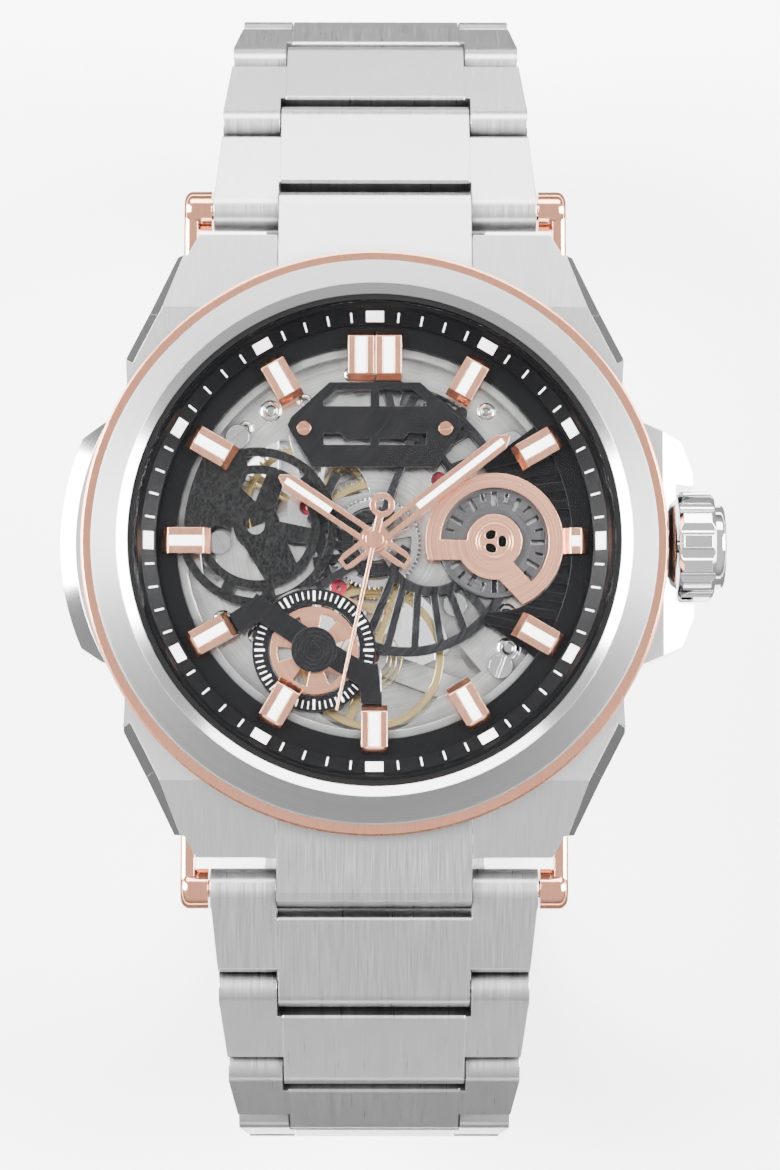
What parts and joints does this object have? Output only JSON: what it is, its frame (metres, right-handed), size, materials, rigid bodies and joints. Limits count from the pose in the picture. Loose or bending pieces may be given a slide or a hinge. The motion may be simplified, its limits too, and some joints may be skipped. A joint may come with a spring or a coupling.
{
  "type": "skeleton wristwatch",
  "caption": "Skeleton wristwatch: open-worked dial under a sloped bezel, rose gold ring and lug bars, fluted crown, and a tapering H-link steel bracelet closed by a folding clasp.",
  "frame": {"origin": "centre of the case back's outer flat face, on the axis of the hands", "axes": "+Z out of the dial, +Y towards 12 o'clock, +X towards the crown"},
  "size_m": [0.0455, 0.0832, 0.0508],
  "materials": {
    "brushed_case": "vertically brushed steel with polished bevels",
    "brushed_bezel": "circular brushed cone with a polished inner chamfer",
    "brushed_bracelet": "brushed along the bracelet",
    "polished_steel": "polished",
    "rose_gold": "rose gold plating, polished and brushed",
    "crystal_glass": "clear mineral glass",
    "black_rubber": "satin",
    "steel_screws": "polished heads with slots",
    "steel_works": "rhodium plated, satin and circular grained",
    "black_dial": "satin black",
    "black_brushed": "brushed black",
    "black_grained": "grained black",
    "grey_brushed": "brushed dark grey",
    "brass_works": "gilt brass, circular grained",
    "ruby": "polished synthetic ruby"
  },
  "bodies": {
    "case": {"case_middle": "brushed_case", "bezel": "brushed_bezel", "bezel_ring": "rose_gold", "crystal": "crystal_glass", "gaskets": "black_rubber", "case_back": "brushed_case", "back_window": "crystal_glass", "back_screws": "steel_screws", "movement_holder": "steel_works", "lug_bars": "rose_gold", "end_blocks": "brushed_bracelet", "dial_ring": "black_dial", "minute_ring": "black_dial", "hour_markers": "rose_gold", "name_plate": "black_brushed", "movement_screws": "steel_screws", "grained_bridge": "black_grained", "fan_bridge": "grey_brushed", "counter_bridge": "black_brushed", "day_cover": "rose_gold", "main_plate": "steel_works", "movement_bridges": "steel_works", "jewels": "ruby"},
    "winding_pinion": {"winding_pinion": "steel_works"},
    "crown": {"crown": "polished_steel"},
    "fourth_arbor": {"fourth_wheel": "brass_works", "seconds_hand": "rose_gold"},
    "centre_arbor": {"centre_wheel": "brass_works", "minute_hand": "rose_gold"},
    "hour_pipe": {"hour_wheel": "steel_works", "hour_hand": "rose_gold"},
    "third_wheel": {"third_wheel": "brass_works"},
    "escape_wheel": {"escape_wheel": "steel_works"},
    "mainspring_barrel": {"mainspring_barrel": "steel_works"},
    "day_disc": {"day_disc": "grey_brushed"},
    "running_wheel": {"running_wheel": "rose_gold"},
    "pallet_fork": {"pallet_fork": "steel_works"},
    "balance_wheel": {"balance_wheel": "brass_works"},
    "rotor": {"rotor": "steel_works"},
    "upper_link_1": {"upper_link_1": "brushed_bracelet"},
    "upper_link_2": {"upper_link_2": "brushed_bracelet"},
    "upper_link_3": {"upper_link_3": "brushed_bracelet"},
    "upper_link_4": {"upper_link_4": "brushed_bracelet"},
    "upper_link_5": {"upper_link_5": "brushed_bracelet"},
    "upper_link_6": {"upper_link_6": "brushed_bracelet"},
    "upper_link_7": {"upper_link_7": "brushed_bracelet"},
    "upper_link_8": {"upper_link_8": "brushed_bracelet"},
    "lower_link_1": {"lower_link_1": "brushed_bracelet"},
    "lower_link_2": {"lower_link_2": "brushed_bracelet"},
    "lower_link_3": {"lower_link_3": "brushed_bracelet"},
    "lower_link_4": {"lower_link_4": "brushed_bracelet"},
    "lower_link_5": {"lower_link_5": "brushed_bracelet"},
    "lower_link_6": {"lower_link_6": "brushed_bracelet"},
    "lower_link_7": {"lower_link_7": "brushed_bracelet"},
    "lower_link_8": {"lower_link_8": "brushed_bracelet"},
    "clasp_inner_leaf": {"clasp_inner_leaf": "brushed_bracelet"},
    "clasp_middle_leaf": {"clasp_middle_leaf": "brushed_bracelet"},
    "clasp_cover": {"clasp_cover": "brushed_bracelet"},
    "clasp_button_right": {"clasp_button_right": "polished_steel"},
    "clasp_button_left": {"clasp_button_left": "polished_steel"}
  },
  "joints": [
    {"name": "crown_turn", "type": "hinge", "parent": "case", "child": "winding_pinion", "pos_m": [0, 0, 0.0047], "axis": [1, 0, 0], "continuous": true},
    {"name": "crown_pull", "type": "slide", "parent": "winding_pinion", "child": "crown", "axis": [1, 0, 0], "range_m": [0, 0.0011]},
    {"name": "seconds_turn", "type": "hinge", "parent": "case", "child": "fourth_arbor", "pos_m": [0, 0, 0.004], "axis": [0, 0, -1], "continuous": true},
    {"name": "minute_turn", "type": "hinge", "parent": "case", "child": "centre_arbor", "pos_m": [0, 0, 0.004], "axis": [0, 0, -1], "continuous": true},
    {"name": "hour_turn", "type": "hinge", "parent": "case", "child": "hour_pipe", "pos_m": [0, 0, 0.004], "axis": [0, 0, -1], "continuous": true},
    {"name": "third_wheel_turn", "type": "hinge", "parent": "case", "child": "third_wheel", "pos_m": [-0.0046, 0.0025, 0.004], "axis": [0, 0, -1], "continuous": true},
    {"name": "escape_wheel_turn", "type": "hinge", "parent": "case", "child": "escape_wheel", "pos_m": [-0.00245, -0.003, 0.004], "axis": [0, 0, -1], "continuous": true},
    {"name": "barrel_turn", "type": "hinge", "parent": "case", "child": "mainspring_barrel", "pos_m": [0.0044, 0.0044, 0.004], "axis": [0, 0, -1], "continuous": true},
    {"name": "day_disc_turn", "type": "hinge", "parent": "case", "child": "day_disc", "pos_m": [0.00815, 0, 0.004], "axis": [0, 0, -1], "continuous": true},
    {"name": "running_wheel_turn", "type": "hinge", "parent": "case", "child": "running_wheel", "pos_m": [-0.0041, -0.0074, 0.004], "axis": [0, 0, -1], "continuous": true},
    {"name": "pallet_fork_rock", "type": "hinge", "parent": "case", "child": "pallet_fork", "pos_m": [-0.0015, -0.00498, 0.0035], "axis": [0, 0, -1], "range_deg": [-4, 4]},
    {"name": "balance_swing", "type": "hinge", "parent": "case", "child": "balance_wheel", "pos_m": [-0.0002, -0.0077, 0.0044], "axis": [0, 0, -1], "range_deg": [-270, 270], "stiffness_Nm_per_rad": 0.000001},
    {"name": "rotor_turn", "type": "hinge", "parent": "case", "child": "rotor", "pos_m": [0, 0, 0.004], "axis": [0, 0, -1], "continuous": true},
    {"name": "upper_hinge_1", "type": "hinge", "parent": "case", "child": "upper_link_1", "pos_m": [0, 0.0235, 0.004], "axis": [-1, 0, 0], "range_deg": [-25, 0]},
    {"name": "upper_hinge_2", "type": "hinge", "parent": "upper_link_1", "child": "upper_link_2", "pos_m": [0, 0.03021, 0.00087], "axis": [-1, 0, 0], "range_deg": [-17, 0]},
    {"name": "upper_hinge_3", "type": "hinge", "parent": "upper_link_2", "child": "upper_link_3", "pos_m": [0, 0.03571, -0.00408], "axis": [-1, 0, 0], "range_deg": [-20, 0]},
    {"name": "upper_hinge_4", "type": "hinge", "parent": "upper_link_3", "child": "upper_link_4", "pos_m": [0, 0.03918, -0.01061], "axis": [-1, 0, 0], "range_deg": [-20, 0]},
    {"name": "upper_hinge_5", "type": "hinge", "parent": "upper_link_4", "child": "upper_link_5", "pos_m": [0, 0.04021, -0.01794], "axis": [-1, 0, 0], "range_deg": [-21, 0]},
    {"name": "upper_hinge_6", "type": "hinge", "parent": "upper_link_5", "child": "upper_link_6", "pos_m": [0, 0.03855, -0.02515], "axis": [-1, 0, 0], "range_deg": [-21, 0]},
    {"name": "upper_hinge_7", "type": "hinge", "parent": "upper_link_6", "child": "upper_link_7", "pos_m": [0, 0.03441, -0.03129], "axis": [-1, 0, 0], "range_deg": [-20, 0]},
    {"name": "upper_hinge_8", "type": "hinge", "parent": "upper_link_7", "child": "upper_link_8", "pos_m": [0, 0.02842, -0.03564], "axis": [-1, 0, 0], "range_deg": [-19, 0]},
    {"name": "lower_hinge_1", "type": "hinge", "parent": "case", "child": "lower_link_1", "pos_m": [0, -0.0235, 0.004], "axis": [1, 0, 0], "range_deg": [-25, 0]},
    {"name": "lower_hinge_2", "type": "hinge", "parent": "lower_link_1", "child": "lower_link_2", "pos_m": [0, -0.03021, 0.00087], "axis": [1, 0, 0], "range_deg": [-17, 0]},
    {"name": "lower_hinge_3", "type": "hinge", "parent": "lower_link_2", "child": "lower_link_3", "pos_m": [0, -0.03571, -0.00408], "axis": [1, 0, 0], "range_deg": [-20, 0]},
    {"name": "lower_hinge_4", "type": "hinge", "parent": "lower_link_3", "child": "lower_link_4", "pos_m": [0, -0.03918, -0.01061], "axis": [1, 0, 0], "range_deg": [-20, 0]},
    {"name": "lower_hinge_5", "type": "hinge", "parent": "lower_link_4", "child": "lower_link_5", "pos_m": [0, -0.04021, -0.01794], "axis": [1, 0, 0], "range_deg": [-21, 0]},
    {"name": "lower_hinge_6", "type": "hinge", "parent": "lower_link_5", "child": "lower_link_6", "pos_m": [0, -0.03855, -0.02515], "axis": [1, 0, 0], "range_deg": [-21, 0]},
    {"name": "lower_hinge_7", "type": "hinge", "parent": "lower_link_6", "child": "lower_link_7", "pos_m": [0, -0.03441, -0.03129], "axis": [1, 0, 0], "range_deg": [-20, 0]},
    {"name": "lower_hinge_8", "type": "hinge", "parent": "lower_link_7", "child": "lower_link_8", "pos_m": [0, -0.02842, -0.03564], "axis": [1, 0, 0], "range_deg": [-19, 0]},
    {"name": "clasp_hinge", "type": "hinge", "parent": "upper_link_8", "child": "clasp_inner_leaf", "pos_m": [0, 0.02134, -0.0378], "axis": [-1, 0, 0], "range_deg": [-17, 0]},
    {"name": "clasp_fold", "type": "hinge", "parent": "clasp_inner_leaf", "child": "clasp_middle_leaf", "pos_m": [0, -0.01694, -0.0373], "axis": [-1, 0, 0], "range_deg": [0, 120]},
    {"name": "clasp_cover_fold", "type": "hinge", "parent": "clasp_middle_leaf", "child": "clasp_cover", "pos_m": [0, 0.01594, -0.03825], "axis": [-1, 0, 0], "range_deg": [-120, 0]},
    {"name": "button_right_press", "type": "slide", "parent": "clasp_cover", "child": "clasp_button_right", "axis": [-1, 0, 0], "range_m": [0, 0.0004], "stiffness_N_per_m": 600},
    {"name": "button_left_press", "type": "slide", "parent": "clasp_cover", "child": "clasp_button_left", "axis": [1, 0, 0], "range_m": [0, 0.0004], "stiffness_N_per_m": 600}
  ],
  "couplings": [
    {"joint": "minute_turn", "follows": "seconds_turn", "ratio": 0.016667},
    {"joint": "hour_turn", "follows": "seconds_turn", "ratio": 0.0013889},
    {"joint": "third_wheel_turn", "follows": "seconds_turn", "ratio": -0.12},
    {"joint": "escape_wheel_turn", "follows": "seconds_turn", "ratio": -12},
    {"joint": "barrel_turn", "follows": "seconds_turn", "ratio": -0.0020833},
    {"joint": "day_disc_turn", "follows": "seconds_turn", "ratio": 0.00069444},
    {"joint": "running_wheel_turn", "follows": "seconds_turn", "ratio": 1},
    {"joint": "clasp_cover_fold", "follows": "clasp_fold", "ratio": -1}
  ]
}
